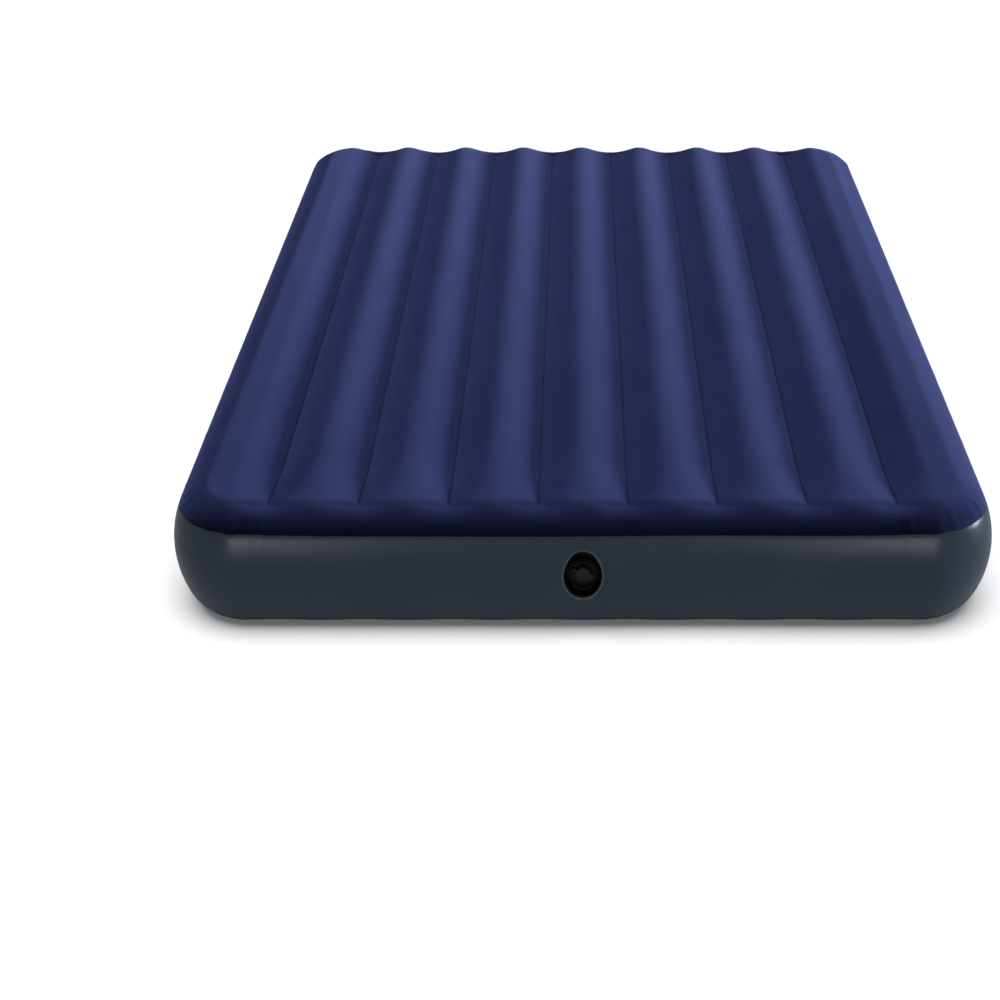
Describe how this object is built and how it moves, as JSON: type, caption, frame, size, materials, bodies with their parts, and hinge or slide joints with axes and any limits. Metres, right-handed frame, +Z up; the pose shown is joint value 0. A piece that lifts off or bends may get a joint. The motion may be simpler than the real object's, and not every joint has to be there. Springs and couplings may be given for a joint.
{
  "type": "air mattress",
  "caption": "Queen-size inflatable air bed with a flocked top of lengthwise tubes, a smooth vinyl side wall and a recessed screw-in inflation valve in the foot wall.",
  "frame": {"origin": "on the floor, under the middle of the bed", "axes": "+Z up; +Y towards the head, so the valve is in the foot wall at -Y; +X to the right, seen from the foot"},
  "size_m": [1.52, 2.03, 0.25],
  "materials": {
    "flocked_navy": "velvety flock",
    "slate_vinyl": "smooth semi-gloss vinyl",
    "beam_vinyl": "plain vinyl",
    "black_vinyl": "soft moulded vinyl",
    "valve_plastic": "moulded plastic",
    "cap_vinyl": "soft moulded vinyl",
    "seal_rubber": "soft rubber"
  },
  "bodies": {
    "air_chamber": {"top_cover": "flocked_navy", "side_wall": "slate_vinyl", "valve_panel": "slate_vinyl", "bottom_sheet": "slate_vinyl", "air_beam_1": "beam_vinyl", "air_beam_2": "beam_vinyl", "air_beam_3": "beam_vinyl", "air_beam_4": "beam_vinyl", "air_beam_5": "beam_vinyl", "air_beam_6": "beam_vinyl", "air_beam_7": "beam_vinyl", "air_beam_8": "beam_vinyl", "mouth_rim": "slate_vinyl", "valve_pocket": "black_vinyl", "valve_base": "black_vinyl"},
    "insert_tether": {"insert_strap": "black_vinyl"},
    "insert": {"valve_insert": "valve_plastic", "insert_seal": "seal_rubber"},
    "cap": {"inflation_cap": "cap_vinyl", "cap_strap": "cap_vinyl"},
    "flap": {"check_flap": "seal_rubber"}
  },
  "joints": [
    {"name": "insert_travel", "type": "slide", "parent": "air_chamber", "child": "insert_tether", "axis": [0, -1, 0], "range_m": [0, 0.0125]},
    {"name": "insert_turn", "type": "hinge", "parent": "insert_tether", "child": "insert", "pos_m": [0, -0.985, 0.132], "axis": [0, -1, 0], "range_deg": [0, 900]},
    {"name": "cap_open", "type": "hinge", "parent": "insert", "child": "cap", "pos_m": [-0.01785, -0.9981, 0.1385], "axis": [-0.342, 0, -0.9397], "range_deg": [0, 100]},
    {"name": "flap_open", "type": "hinge", "parent": "insert", "child": "flap", "pos_m": [-0.01278, -0.9762, 0.13665], "axis": [0.342, 0, 0.9397], "range_deg": [0, 70], "stiffness_Nm_per_rad": 0.001}
  ],
  "couplings": [
    {"joint": "insert_travel", "follows": "insert_turn", "m_per_rad": 0.00079577}
  ]
}
